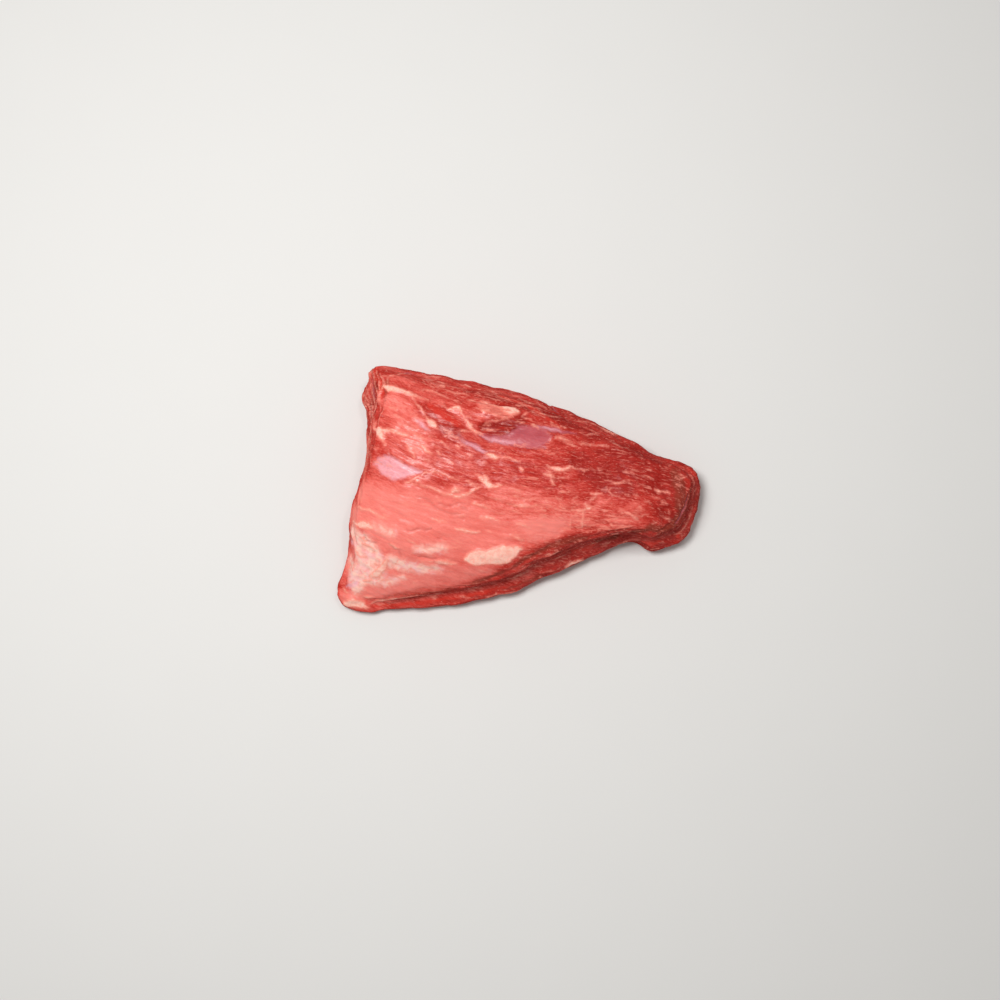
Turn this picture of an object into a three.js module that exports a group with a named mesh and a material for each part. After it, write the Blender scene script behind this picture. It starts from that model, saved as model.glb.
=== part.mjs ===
// A raw beef roasting joint: a wedge of muscle about 225 mm long, 150 mm wide at its
// cut end and 50 mm thick, tapering to a blunt, rolled tip. It lies on a flat underside.
// Millimetres, +Z up, +X towards the tip, +Y towards the long far flank.
import * as THREE from "three";
import { ImprovedNoise } from "three/addons/math/ImprovedNoise.js";

// How finely the skin is divided: along the joint, across it, and down its flank
const ALONG = 48;
const ACROSS = 24;
const DOWN = 16;
const AROUND = 2 * (ALONG + ACROSS);
const STEPS_PER_STATION = 40;

// The crown: the thickness along X, and how the top falls away to either flank
const CROWN = [
  { x: -114, height: 40 },
  { x: -62, height: 49.5 },
  { x: 0, height: 50 },
  { x: 62, height: 42.5 },
  { x: 113, height: 32 },
];
const CROWN_LINE = { left: 17, right: -6 };
const NEAR_FALL = 0.0042;
const FAR_FALL = 0.0024;
const LOWEST_RIM = 13;

// Where the top rolls over to its rim: how wide the roll is, and how sharply each place on
// it follows the nearest station
const ROLL = { width: 15, follow: 4, leastGap: 0.1 };

// The flank's section. share: how far a level lies from the widest level towards the rim.
// drop: how far the shoulder lies below the rim. height: where the seam lies between the
// widest level and the shoulder. tuck: how far the foot lies in from the widest level.
const SHOULDER = { share: 0.66, drop: 6, swell: 0.4, leastRise: 2 };
const SEAM = { share: 0.34, height: 0.5 };
const FOOT = { tuck: 5, bendTuck: 1.25, bendHeight: 0.35 };

// The outline at its widest, edge by edge. z: height of the widest level. rim: where the
// top's edge lies. round: swell of the flank. groove: depth of the seam between the upper
// muscle and the slab below it. roll: how far the top drops to its rim.
const CUT_END = [
  { x: -90, y: 74.5, z: 25, rim: [-87, 70.3], round: 0.5, groove: 0, roll: 1 },
  { x: -95, y: 66.5, z: 14, rim: [-83.2, 65.3], round: -0.5, groove: 0.5, roll: 0.5 },
  { x: -98.5, y: 59, z: 10, rim: [-80.8, 58.3], round: -0.5, groove: 1, roll: 0.5 },
  { x: -95.3, y: 46, z: 10, rim: [-82.3, 46], round: 0, groove: 1, roll: 0.5 },
  { x: -94.5, y: 30, z: 11, rim: [-87.3, 30], round: 0, groove: 0.8, roll: 1 },
  { x: -96.5, y: 12, z: 13, rim: [-90.3, 13], round: 0.5, groove: 0.5, roll: 1.5 },
  { x: -101, y: -4, z: 15, rim: [-94.8, -2.5], round: 1, groove: 0, roll: 2.5 },
  { x: -105, y: -20, z: 14, rim: [-98.3, -18.5], round: 1.5, groove: 0, roll: 3 },
  { x: -106, y: -36, z: 12, rim: [-99.7, -34.5], round: 1.5, groove: 0, roll: 3 },
  { x: -109, y: -51, z: 9, rim: [-102.3, -49.5], round: 1, groove: 0, roll: 3 },
  { x: -113.3, y: -63, z: 7.5, rim: [-106.8, -61], round: 1, groove: 0, roll: 2 },
];
const NEAR_FLANK = [
  { x: -110.5, y: -72.5, z: 7, rim: [-106.5, -69], round: 1, groove: 0, roll: 2 },
  { x: -96, y: -76, z: 7, rim: [-94.5, -69], round: 1, groove: 0.5, roll: 2 },
  { x: -77, y: -75.5, z: 7, rim: [-78, -65.2], round: 0.5, groove: 2, roll: 2.5 },
  { x: -52, y: -73.5, z: 8, rim: [-54, -60.5], round: 0.5, groove: 4, roll: 3 },
  { x: -27, y: -69.5, z: 9, rim: [-30.5, -57], round: 0.5, groove: 4.5, roll: 3 },
  { x: -4, y: -63.5, z: 10, rim: [-9.5, -51], round: 0, groove: 5, roll: 2.5 },
  { x: 20, y: -53.5, z: 11, rim: [10.5, -39.5], round: 0, groove: 4, roll: 2 },
  { x: 42, y: -43.5, z: 11, rim: [33, -31.5], round: 0, groove: 3.5, roll: 2 },
  { x: 60, y: -35.8, z: 11, rim: [54, -27.8], round: 0, groove: 3, roll: 2 },
  { x: 71, y: -32.8, z: 11, rim: [68, -26.3], round: 0, groove: 4, roll: 2 },
  { x: 83, y: -38.8, z: 10, rim: [80, -26.8], round: 0.5, groove: 5.5, roll: 2 },
  { x: 94, y: -35.8, z: 11, rim: [89, -24.2], round: 0.5, groove: 4.5, roll: 2 },
];
const TIP = [
  { x: 103, y: -30.5, z: 12, rim: [95, -20], round: 0.5, groove: 3.5, roll: 1.5 },
  { x: 109, y: -16, z: 14, rim: [99.5, -12], round: 0.5, groove: 3, roll: 1 },
  { x: 112.5, y: -2, z: 16, rim: [103.5, -2], round: 0.5, groove: 2, roll: 1 },
];
const FAR_FLANK = [
  { x: 110, y: 9.5, z: 18, rim: [102, 4], round: 1, groove: 1.5, roll: 2 },
  { x: 99, y: 16.5, z: 20, rim: [94.5, 9], round: 2, groove: 0, roll: 3 },
  { x: 85, y: 20, z: 19, rim: [82, 13], round: 2, groove: 1, roll: 3.5 },
  { x: 72, y: 27, z: 18, rim: [68, 19.7], round: 2.5, groove: 0, roll: 4 },
  { x: 48, y: 39, z: 18, rim: [44, 31], round: 2.5, groove: 0, roll: 4.5 },
  { x: 22, y: 49.5, z: 19, rim: [18.5, 41], round: 2.5, groove: 0, roll: 5 },
  { x: -8, y: 60.3, z: 21, rim: [-11, 51], round: 2.5, groove: 0, roll: 5 },
  { x: -42, y: 67.5, z: 22, rim: [-44, 58.3], round: 2.5, groove: 0, roll: 5 },
  { x: -72, y: 73.2, z: 23, rim: [-71, 65.5], round: 2, groove: 0, roll: 3.5 },
];
const OUTLINE = [...CUT_END, ...NEAR_FLANK, ...TIP, ...FAR_FLANK];

// Seams, pockets and lobes of the top. Each is an ellipse, turned by turn degrees, that
// stands up by rise or sinks by a negative rise.
const TOP_FORMS = [
  { x: -8, y: 27, long: 22, wide: 6, turn: -8, rise: -2.8 }, // torn pocket
  { x: -12, y: 38, long: 24, wide: 5, turn: -16, rise: 2 }, // lip above the pocket
  { x: -37, y: 31, long: 19, wide: 4.5, turn: -44, rise: 1.7 }, // edge of the upper muscle
  { x: 18, y: 22, long: 26, wide: 5, turn: -4, rise: -1.4 }, // trough under the silver skin
  { x: -62, y: 30, long: 24, wide: 13, turn: -35, rise: 1.6 }, // upper left lobe
  { x: -76, y: 3, long: 14, wide: 9, turn: 20, rise: -1.3 }, // hollow under the left film
  { x: -47, y: -1, long: 16, wide: 6, turn: -12, rise: 1.4 }, // small lobe with a pale edge
  { x: -28, y: -12, long: 20, wide: 4, turn: -22, rise: -1.4 }, // wrinkle
  { x: -69, y: -33, long: 30, wide: 11, turn: -10, rise: 1.6 }, // smooth lower left belly
  { x: -93, y: -39, long: 9, wide: 6, turn: 30, rise: -1.4 }, // dent at the left edge
  { x: -14, y: -46, long: 18, wide: 8, turn: 8, rise: 1.7 }, // fat pad on the near shoulder
  { x: -66, y: -52, long: 22, wide: 5, turn: 0, rise: -1.2 }, // trough by the near shoulder
  { x: 58, y: -14, long: 26, wide: 10, turn: -20, rise: 1.5 }, // near belly of the thin end
  { x: 66, y: 10, long: 30, wide: 6, turn: -22, rise: -1.2 }, // shallow valley of the thin end
  { x: 96, y: -6, long: 8, wide: 14, turn: 0, rise: 1.8 }, // rolled rim of the tip
];

// Layers that stand out of the cut end, one above the other, wandering along it
const CUT_LAYERS = {
  left: -88, right: -76, near: -8, far: 14, thick: 8.5, depth: 1.2, wander: 14,
};

// Unevenness: the size of the lumps and how far they stand out
const TOP_LUMPS = { size: 21, depth: 1 };
const FLANK_LUMPS = { size: 12, depth: 1.5 };
const NOISE_SLICE = 3.7;

const noise = new ImprovedNoise();
const { clamp, lerp, smoothstep, degToRad } = THREE.MathUtils;

function crownHeight(x) {
  const last = CROWN.length - 1;
  const after = CROWN.findIndex((c) => c.x >= x);
  const here = after < 0 ? last : clamp(after, 1, last);
  const share = smoothstep(x, CROWN[here - 1].x, CROWN[here].x);
  return lerp(CROWN[here - 1].height, CROWN[here].height, share);
}

function formRise(form, x, y) {
  const turn = degToRad(form.turn);
  const dx = x - form.x;
  const dy = y - form.y;
  const along = (dx * Math.cos(turn) + dy * Math.sin(turn)) / form.long;
  const across = (dy * Math.cos(turn) - dx * Math.sin(turn)) / form.wide;
  return form.rise * Math.exp(-along * along - across * across);
}

// Height of the top over a point of the plan, before it rolls over to the flank
function topHeight(x, y) {
  const share = (x - CROWN[0].x) / (CROWN[CROWN.length - 1].x - CROWN[0].x);
  const off = y - lerp(CROWN_LINE.left, CROWN_LINE.right, share);
  const fall = (off < 0 ? NEAR_FALL : FAR_FALL) * off * off;
  const rise = TOP_FORMS.reduce((sum, form) => sum + formRise(form, x, y), 0);
  const lumps = noise.noise(x / TOP_LUMPS.size, y / TOP_LUMPS.size, NOISE_SLICE);
  return Math.max(LOWEST_RIM, crownHeight(x) - fall + rise + TOP_LUMPS.depth * lumps);
}

// Closed curves that share their stations: the widest level, the rim of the top, and the
// forms of the flank
const closedCurve = (values) => new THREE.CatmullRomCurve3(
  OUTLINE.map((s) => new THREE.Vector3(...values(s))), true, "catmullrom", 0.5);
const plan = closedCurve((s) => [s.x, s.y, s.z]);
const rims = closedCurve((s) => [...s.rim, s.roll]);
const flanks = closedCurve((s) => [s.round, s.groove, 0]);

// Places on the curves, even along each of the four edges, so that every corner has one
function placesAround() {
  plan.arcLengthDivisions = STEPS_PER_STATION * OUTLINE.length;
  const lengths = plan.getLengths();
  const edges = [[CUT_END, ACROSS], [NEAR_FLANK, ALONG], [TIP, ACROSS], [FAR_FLANK, ALONG]];
  const places = [];
  let first = 0;
  for (const [edge, count] of edges) {
    const from = lengths[STEPS_PER_STATION * first];
    first += edge.length;
    const to = lengths[STEPS_PER_STATION * first];
    for (let i = 0; i < count; i++) {
      places.push(plan.getUtoTmapping(0, lerp(from, to, i / count)));
    }
  }
  return places;
}

// The flank at one place: its section from the rim over the shoulder, the seam and the
// widest level to the foot
function station(t) {
  const widest = plan.getPoint(t);
  const { x: rimX, y: rimY, z: roll } = rims.getPoint(t);
  const { x: round, y: groove } = flanks.getPoint(t);
  const { x: dx, y: dy } = plan.getTangent(t);
  const fromRim = new THREE.Vector3(widest.x - rimX, widest.y - rimY, 0).normalize();
  const outward = new THREE.Vector3(dy, -dx, 0).normalize().add(fromRim).normalize();
  const rim = new THREE.Vector3(rimX, rimY, topHeight(rimX, rimY) - roll);
  const shoulder = Math.max(widest.z + SHOULDER.leastRise, rim.z - SHOULDER.drop);
  const seam = lerp(widest.z, shoulder, SEAM.height);
  const level = (share, out, height) =>
    widest.clone().lerp(rim, share).addScaledVector(outward, out).setZ(height);
  const section = new THREE.CatmullRomCurve3([
    rim,
    level(SHOULDER.share, SHOULDER.swell * round, shoulder),
    level(SEAM.share, round - Math.max(0, groove), seam),
    widest,
    level(0, -FOOT.bendTuck, FOOT.bendHeight * widest.z),
    level(0, -FOOT.tuck, 0),
  ], false, "centripetal");
  return { outward, section, rim, roll };
}

// How far the flank stands out at a point: its lumps, and the layers of the cut end
function flankRelief(point, share) {
  const { x, y, z } = point.clone().divideScalar(FLANK_LUMPS.size);
  const lumps = FLANK_LUMPS.depth * noise.noise(x, y, z);
  const { left, right, near, far, thick, depth, wander } = CUT_LAYERS;
  const onCut = (1 - smoothstep(point.x, left, right)) * smoothstep(point.y, near, far);
  const phase = point.z / thick + noise.noise(point.y / wander, NOISE_SLICE, 0);
  const layers = depth * Math.sin(2 * Math.PI * phase) * onCut;
  return (lumps + layers) * Math.sin(Math.PI * share);
}

function flankRing(stations, share) {
  return stations.map(({ outward, section }) => {
    const point = section.getPointAt(share);
    return point.addScaledVector(outward, flankRelief(point, share)).setZ(point.z);
  });
}

// The top inside its rim, which it falls to by the roll of the stations near there
function rolledHeight(x, y, stations) {
  let closest = ROLL.width;
  let weights = 0;
  let roll = 0;
  for (const s of stations) {
    const gap = Math.max(ROLL.leastGap, Math.hypot(s.rim.x - x, s.rim.y - y));
    const weight = gap ** -ROLL.follow;
    closest = Math.min(closest, gap);
    weights += weight;
    roll += weight * s.roll;
  }
  const share = 1 - closest / ROLL.width;
  return topHeight(x, y) - (roll / weights) * share * share;
}

class Skin {
  points = [];
  faces = [];

  add(points) {
    const first = this.points.length;
    this.points.push(...points);
    return points.map((_, i) => first + i);
  }

  // A square of the skin, split along its shorter diagonal
  square(a, b, c, d) {
    const gap = (i, j) => this.points[i].distanceTo(this.points[j]);
    if (gap(a, c) < gap(b, d)) this.faces.push(a, b, c, a, c, d);
    else this.faces.push(a, b, d, b, c, d);
  }

  band(upper, lower) {
    upper.forEach((a, i) => {
      const next = (i + 1) % upper.length;
      this.square(a, lower[i], lower[next], upper[next]);
    });
  }

  // A four-sided patch inside a ring, blended from its four edges in the plan
  patch(ring, heightAt, facesUp) {
    const at = (i) => this.points[ring[i % AROUND]];
    const near = (i) => at(ACROSS + i);
    const far = (i) => at(AROUND - i);
    const left = (j) => at(ACROSS - j);
    const right = (j) => at(ACROSS + ALONG + j);
    const blend = (i, j, axis) => {
      const u = i / ALONG;
      const v = j / ACROSS;
      const between = lerp(near(i)[axis], far(i)[axis], v) + lerp(left(j)[axis], right(j)[axis], u);
      const corners = lerp(lerp(near(0)[axis], near(ALONG)[axis], u),
        lerp(far(0)[axis], far(ALONG)[axis], u), v);
      return between - corners;
    };
    const inside = [];
    for (let i = 1; i < ALONG; i++) {
      for (let j = 1; j < ACROSS; j++) {
        const x = blend(i, j, "x");
        const y = blend(i, j, "y");
        inside.push(new THREE.Vector3(x, y, heightAt(x, y)));
      }
    }
    const inner = this.add(inside);
    const index = (i, j) => {
      if (j === 0) return ring[ACROSS + i];
      if (j === ACROSS) return ring[(AROUND - i) % AROUND];
      if (i === 0) return ring[ACROSS - j];
      if (i === ALONG) return ring[ACROSS + ALONG + j];
      return inner[(i - 1) * (ACROSS - 1) + j - 1];
    };
    for (let i = 0; i < ALONG; i++) {
      for (let j = 0; j < ACROSS; j++) {
        const corners = [index(i, j), index(i + 1, j), index(i + 1, j + 1), index(i, j + 1)];
        this.square(...(facesUp ? corners : corners.reverse()));
      }
    }
  }
}

function jointGeometry() {
  const stations = placesAround().map(station);
  const skin = new Skin();
  const rings = [];
  for (let k = 0; k <= DOWN; k++) rings.push(skin.add(flankRing(stations, k / DOWN)));
  for (let k = 0; k < DOWN; k++) skin.band(rings[k], rings[k + 1]);
  skin.patch(rings[0], (x, y) => rolledHeight(x, y, stations), true);
  skin.patch(rings[DOWN], () => 0, false);

  const geometry = new THREE.BufferGeometry().setFromPoints(skin.points);
  geometry.setIndex(skin.faces);
  return geometry;
}

// The origin is the middle of the bounding box, on the surface that the joint lies on
function centred(geometry) {
  geometry.computeBoundingBox();
  const { min, max } = geometry.boundingBox;
  geometry.translate(-(min.x + max.x) / 2, -(min.y + max.y) / 2, -min.z);
  geometry.computeVertexNormals();
  return geometry;
}

const rawBeef = new THREE.MeshStandardMaterial({ color: 0xc9463c, roughness: 0.42, metalness: 0 });

const joint = new THREE.Mesh(centred(jointGeometry()), rawBeef);
joint.name = "roasting_joint";

const group = new THREE.Group();
group.add(joint);

export default group;
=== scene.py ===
"""A raw beef roasting joint, lying on a pale floor in soft studio light.

Sculpting is worked out in millimetres, and every Blender object is in metres.
"""

import math
import random

import bmesh
import bpy
import numpy as np
from bpy.props import FloatProperty, FloatVectorProperty, IntProperty, PointerProperty
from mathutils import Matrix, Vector, noise
from mathutils.bvhtree import BVHTree


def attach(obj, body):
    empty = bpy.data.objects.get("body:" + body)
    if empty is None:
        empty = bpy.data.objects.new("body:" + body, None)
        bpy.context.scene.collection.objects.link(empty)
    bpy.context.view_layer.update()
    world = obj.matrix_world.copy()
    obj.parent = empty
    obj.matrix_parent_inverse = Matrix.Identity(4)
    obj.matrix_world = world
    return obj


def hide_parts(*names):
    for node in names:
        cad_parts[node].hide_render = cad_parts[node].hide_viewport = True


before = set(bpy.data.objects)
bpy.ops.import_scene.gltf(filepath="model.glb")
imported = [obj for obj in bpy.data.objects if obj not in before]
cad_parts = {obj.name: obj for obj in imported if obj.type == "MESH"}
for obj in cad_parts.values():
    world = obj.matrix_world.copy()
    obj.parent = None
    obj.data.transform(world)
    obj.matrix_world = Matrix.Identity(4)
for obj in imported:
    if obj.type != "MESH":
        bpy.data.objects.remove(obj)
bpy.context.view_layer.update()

bl_info = {
    "name": "Raw Beef Roasting Joint",
    "version": (1, 0, 0),
    "blender": (4, 5, 0),
    "location": "View3D > Sidebar > Roasting Joint",
    "description": "Makes a marbled raw beef roasting joint and its studio",
    "category": "Object",
}

MM = 0.001
NODE = "roasting_joint"

# In metres: corners of the CAD solid that are closer become one; and half the floor's side
MERGE_DISTANCE = 1e-6
FLOOR_REACH = 3

# The photograph's side in pixels and the camera's sensor in millimetres; the height in metres
# given to a mark that misses the joint; and how far from a mark, in millimetres, it is felt
PHOTO_SIDE = 1000
SENSOR = 36
MISS_HEIGHT = 0.02
FAR_OFF = 9.0

# Marks on the joint, read off the photograph. A mark is a line of places, each the
# photograph's pixels across and down, and the mark's half width there in millimetres.
MARKS = {}
MARKS["fat"] = (
    # seam of the far muscle from the far left corner, and its fork
    ((384, 386.5, 1.0), (388.5, 388, 2.1), (395, 389.5, 1.8), (402.5, 390.5, 1.4),
     (409, 393, 1.4), (415.5, 396.5, 0.8), (421, 398, 0.6), (428, 399.5, 0.3)),
    ((410, 394, 0.5), (415, 400, 0.3), (418.5, 405.5, 0.7), (421.5, 409, 0.8),
     (425, 415, 0.3), (428, 419, 1.0), (432, 423, 1.9), (435, 426, 1.2)),
    # line that hooks round to the left end of the pocket
    ((441, 404.5, 0.2), (447, 409.5, 0.3), (451, 409, 1.0), (455, 407.8, 1.5),
     (458.5, 408.5, 1.3), (461.5, 412, 0.7), (464.5, 419, 0.5), (469, 425, 1.3),
     (473, 429.5, 0.8), (477.5, 432.5, 1.2), (482, 435, 0.7)),
    # lip of fat over the pocket, and under it a thin pale line: a painted highlight along the lip's
    # lower edge
    ((480, 401.5, 0.4), (485, 403.3, 0.7), (492, 406.3, 0.6), (500, 407.6, 0.8),
     (507, 408.8, 1.6), (513, 410.3, 2.5), (517, 411.8, 1.8)),
    ((502, 411, 0.4), (507, 412.5, 1.4), (512, 413.5, 1.6), (517, 412, 1.2)),
    ((477, 408, 0.3), (482.5, 410.5, 0.7), (488, 411.5, 0.5)),
    ((484, 423.5, 0.2), (490, 421.3, 0.4), (498, 420, 0.4), (507, 418.5, 0.2)),
    # small streaks of the far band
    ((465, 385, 0.6), (470, 387.5, 0.6)),
    ((463.5, 393.5, 0.4), (468.5, 395.5, 0.5)),
    ((445, 396.5, 0.6), (449, 399.5, 0.5)),
    ((434, 392, 0.3), (445, 396, 0.4)),
    ((426, 389.8, 0.5), (432.5, 391, 0.6)),
    ((437.5, 382, 0.7), (443, 383.5, 0.8)),
    ((438, 385.5, 0.5), (444, 386, 0.6)),
    ((383.5, 376.5, 0.4), (391, 376, 0.5), (400, 374.5, 0.5), (409, 374, 0.3)),
    ((411, 396.5, 0.3), (416, 397.5, 0.4)),
    ((447, 391.5, 0.3), (455, 393, 0.4), (459, 393, 0.3)),
    ((451, 400, 0.3), (457, 400.5, 0.4)),
    ((497, 396.5, 0.5), (502, 398, 0.5)),
    ((487, 390.5, 0.3), (494, 392, 0.4)),
    ((519, 399, 0.4), (528, 403, 0.5), (534, 404.5, 0.4)),
    ((515, 410, 1.0), (517.5, 411, 0.9)),
    ((523, 416, 0.4), (527, 413.5, 0.5)),
    ((540, 413.5, 0.4), (548, 416, 0.5), (560, 418, 0.4)),
    ((517, 420.5, 0.4), (524, 421.5, 0.5)),
    ((533, 425, 0.7), (538, 427.5, 0.6)),
    # wedge at the left edge and the line that runs right from it
    ((375, 429, 0.9), (379, 431.5, 3.0), (382, 435.5, 2.2), (383.5, 440, 0.9), (385, 445, 0.4)),
    ((379, 430.5, 1.2), (387, 430.3, 1.4), (396, 431.5, 1.1), (404, 434, 1.5), (408, 435.5, 0.9)),
    # blobs and specks between the wedge and the small film
    ((421.5, 445.5, 1.0), (426, 449, 1.2), (431.5, 454, 0.5)),
    ((411.5, 452.5, 0.7), (415, 456.5, 0.5)),
    ((407, 448, 0.4), (410, 451, 0.6)),
    ((441.5, 442, 0.6), (446, 446, 0.5), (450, 449, 0.3)),
    ((457.5, 446, 0.9), (460, 447.5, 0.6)),
    ((437.5, 452, 0.6), (440, 454.5, 0.4)),
    ((436.5, 427.5, 0.8), (438.5, 428.5, 0.6)),
    ((444, 429.5, 0.4), (450, 431.5, 0.5)),
    ((390, 406.5, 0.4), (397, 409.5, 0.3)),
    ((394, 414, 0.3), (402, 418.5, 0.4)),
    ((466, 452.5, 0.3), (472, 456, 0.4)),
    ((447, 461, 0.4), (453, 464, 0.3)),
    # end of the small film and the line beyond it
    ((486, 454, 0.9), (491, 455.5, 1.6), (496, 457, 1.4), (500.5, 457, 0.5)),
    ((500, 456.5, 0.5), (510, 458.5, 0.6), (519, 461, 0.3)),
    ((520, 466.8, 0.9), (522, 469.5, 1.1)),
    # seam under the left film, its hook and the fat beyond it
    ((421.5, 474.5, 0.5), (426, 471.5, 0.5), (435, 471.3, 0.6), (444, 473, 0.6),
     (450, 476, 0.7), (457, 479, 0.5)),
    ((406, 482.5, 0.4), (414, 479.5, 0.5), (419, 475.5, 0.4)),
    ((416, 481, 0.4), (421.5, 485, 0.7), (428.5, 487, 0.6), (435, 489.5, 0.8),
     (442.5, 492.5, 0.6), (450, 494.3, 1.0), (456, 496, 1.1), (462.5, 496, 1.0),
     (469, 493, 1.0), (474, 490.5, 0.9), (479, 487, 0.6)),
    ((452, 491, 1.0), (456.5, 489, 1.3), (459, 491, 0.8)),
    ((480.5, 477.5, 1.1), (485, 481.5, 1.6), (490, 485, 2.1), (495, 485.5, 1.2), (502, 484, 0.4)),
    ((484.5, 476, 0.8), (486, 480, 1.4)),
    ((467, 481, 0.4), (475, 484, 0.6), (481, 485, 0.6)),
    # streaks of the middle
    ((556, 438, 0.5), (562, 439, 0.8), (567, 440, 0.7), (572, 441.5, 0.3)),
    ((514, 444.5, 0.2), (523, 446, 0.2), (536, 448.7, 0.3), (548, 451.5, 0.2)),
    ((580, 443.8, 0.3), (590, 445, 0.4), (600, 445, 0.3), (608, 446.5, 0.3)),
    ((585, 435, 0.3), (594, 434.3, 0.4), (599, 435.5, 0.3)),
    ((547.5, 465, 0.5), (551, 468, 0.9), (557, 469.8, 1.5), (563, 469.3, 1.1),
     (568.5, 467.3, 1.2), (575, 468.5, 0.5)),
    ((583, 470, 0.3), (590, 469.8, 0.3), (595, 470.5, 0.2)),
    ((544, 475, 0.4), (550, 475.8, 1.1), (554, 477, 0.9)),
    ((551, 477, 0.8), (552, 481, 0.9), (553, 484, 0.5)),
    ((559, 477, 0.2), (564, 478, 0.4), (568, 478.8, 0.2)),
    ((558, 493, 0.3), (563, 492, 0.5), (569, 491.3, 0.3)),
    ((507, 504, 0.2), (515, 504.5, 0.5), (523, 505, 0.8), (529, 505.5, 0.6), (537, 505, 0.2)),
    ((511, 488.7, 0.3), (517, 490, 0.4), (523, 492, 0.2)),
    ((556, 498.5, 0.4), (561, 499, 0.4)),
    ((573, 499, 0.4), (577, 497.5, 0.3)),
    # branching fat of the near middle
    ((591.5, 493, 0.4), (596, 493.8, 0.9), (602, 494, 0.4)),
    ((597, 495, 0.5), (593.5, 498, 0.7), (590, 501.5, 0.3)),
    ((585.5, 504.5, 0.6), (587.5, 507, 1.3), (591.5, 507.8, 0.7)),
    ((572, 510.7, 0.3), (577, 510.3, 0.5), (582, 511.5, 0.7), (585.5, 508.5, 0.5)),
    ((583, 512, 0.5), (582.5, 518, 0.5), (582.3, 523, 1.0), (583, 527, 0.4)),
    ((570.5, 519.5, 0.4), (570.5, 525, 0.7), (569.5, 529.5, 0.3)),
    ((606.5, 487.5, 0.2), (609, 491.5, 0.4), (613, 495, 0.4), (618, 496.5, 0.2)),
    ((625, 494.5, 0.4), (629, 494.7, 0.3)),
    # streaks of the thin end
    ((605.5, 480.3, 0.2), (610, 481.2, 0.4), (615, 482.8, 0.9), (620, 483.2, 0.7),
     (626, 482.8, 0.4), (632, 484, 0.2)),
    ((620, 483, 0.4), (624, 481, 0.4), (628, 480.3, 0.3)),
    ((632.5, 470, 0.3), (636, 470.8, 0.5), (640, 471.2, 0.2)),
    ((641, 475.8, 0.2), (647, 477.3, 0.4), (654, 479, 0.3)),
    ((620, 508.8, 0.3), (625, 511.6, 0.5), (630, 514.8, 0.8), (634.5, 517.8, 1.0),
     (638.5, 520, 0.4)),
    ((634, 516.5, 0.4), (641, 516, 0.3), (648, 514, 0.2)),
    ((638.5, 506.8, 0.3), (642.3, 509.3, 0.4)),
    ((655, 489.3, 0.4), (659, 490.8, 0.9), (664, 491.8, 0.5), (670, 493.8, 0.3)),
    ((634, 495, 0.4), (637.5, 496.5, 0.4)),
    ((611, 525, 0.7), (613, 526.5, 0.3)),
    ((617, 529, 0.3), (622, 526.5, 0.3)),
    ((644, 500.5, 0.3), (651, 502.5, 0.3)),
    ((662, 501.5, 0.3), (666, 504.5, 0.4)),
    ((668, 511.5, 0.4), (670, 513.5, 0.4)),
    ((675.5, 477, 0.3), (679, 479.5, 0.4), (686, 477, 0.3)),
    ((676.5, 484, 0.3), (680, 487.5, 0.4)),
    ((679.5, 503, 0.3), (681, 509, 0.3)),
    # edges of the fold at the tip
    ((696, 489, 0.2), (693, 495, 0.5), (691, 502, 0.3)),
    ((692.5, 508, 0.2), (689, 517, 0.4), (685, 526, 0.4), (679, 533, 0.2)),
    # slivers on the far edge and the near edge
    ((576, 421.2, 0.3), (585, 421.8, 0.4), (595, 424.7, 0.5), (602.5, 428.3, 0.8),
     (609, 432, 1.4), (615, 434.4, 0.9), (619, 436, 0.3)),
    ((565.5, 566.5, 1.2), (571, 563.3, 1.9), (577, 561, 1.7), (583, 559.7, 0.7)),
    ((602.5, 544.4, 0.4), (606, 543.5, 0.6), (609, 543, 0.3)),
    # lower left: edge streak, patch, lump, corner
    ((357, 506.5, 0.4), (362, 508.5, 0.7), (369, 510, 0.9), (375, 513.3, 1.0),
     (381, 516.7, 0.7), (388, 519, 0.4)),
    ((354, 521.5, 1.0), (360, 524.5, 2.2), (368, 525, 2.2), (373, 528, 1.0)),
    ((348.8, 534, 1.0), (349.5, 539.5, 0.9)),
    ((371, 577, 1.4), (377, 573.5, 2.6), (383, 567.5, 2.6), (387, 560, 1.4)),
    ((363, 543.5, 0.8), (369, 546, 1.2), (374, 550, 0.6)),
    ((364, 581, 0.8), (371, 580, 1.0)),
    ((383, 580.5, 0.6), (386.5, 580, 0.8)),
    ((391, 544.5, 0.9), (395, 546.5, 1.3), (398.5, 548.5, 0.8)),
    ((360, 537, 0.7), (366, 541.5, 0.6)),
    ((356, 551, 0.8), (359, 556, 0.6), (367, 557, 0.7)),
    ((342.5, 605.5, 1.6), (347, 604, 2.6), (353, 603, 3.3), (360, 603.5, 3.0), (365, 605.5, 1.8),
     (369, 607, 0.6)),
    ((364.5, 596, 0.8), (368.5, 596.3, 1.4), (373, 597, 0.7)),
    # streaks of the belly
    ((456, 529.2, 0.6), (463, 530.3, 1.2), (471, 531.2, 1.3), (479, 532.2, 0.6)),
    ((480.5, 517.5, 0.5), (487, 517.8, 1.0), (494, 519, 0.9), (498.5, 520.5, 0.4)),
    ((422, 562, 0.7), (427, 561.5, 1.0), (432.5, 560.8, 0.7)),
    ((437.5, 562, 1.4), (446, 562.3, 1.6), (453, 563, 0.9), (457, 563.7, 0.4)),
    ((511, 535.7, 0.6), (517, 537.5, 0.8), (523, 540, 0.4)),
    ((517, 523.5, 0.5), (523, 525.5, 0.6), (529, 527, 0.4)),
    ((448, 547, 0.4), (458, 547.5, 0.5)),
    ((474, 503, 0.7), (482, 505.5, 0.9), (489, 507.5, 0.5)),
    # big pale patch over the near shoulder
    ((467.5, 559, 2.2), (472.5, 558.5, 4.3), (480, 558, 5.2), (488, 557.5, 4.6)),
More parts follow.
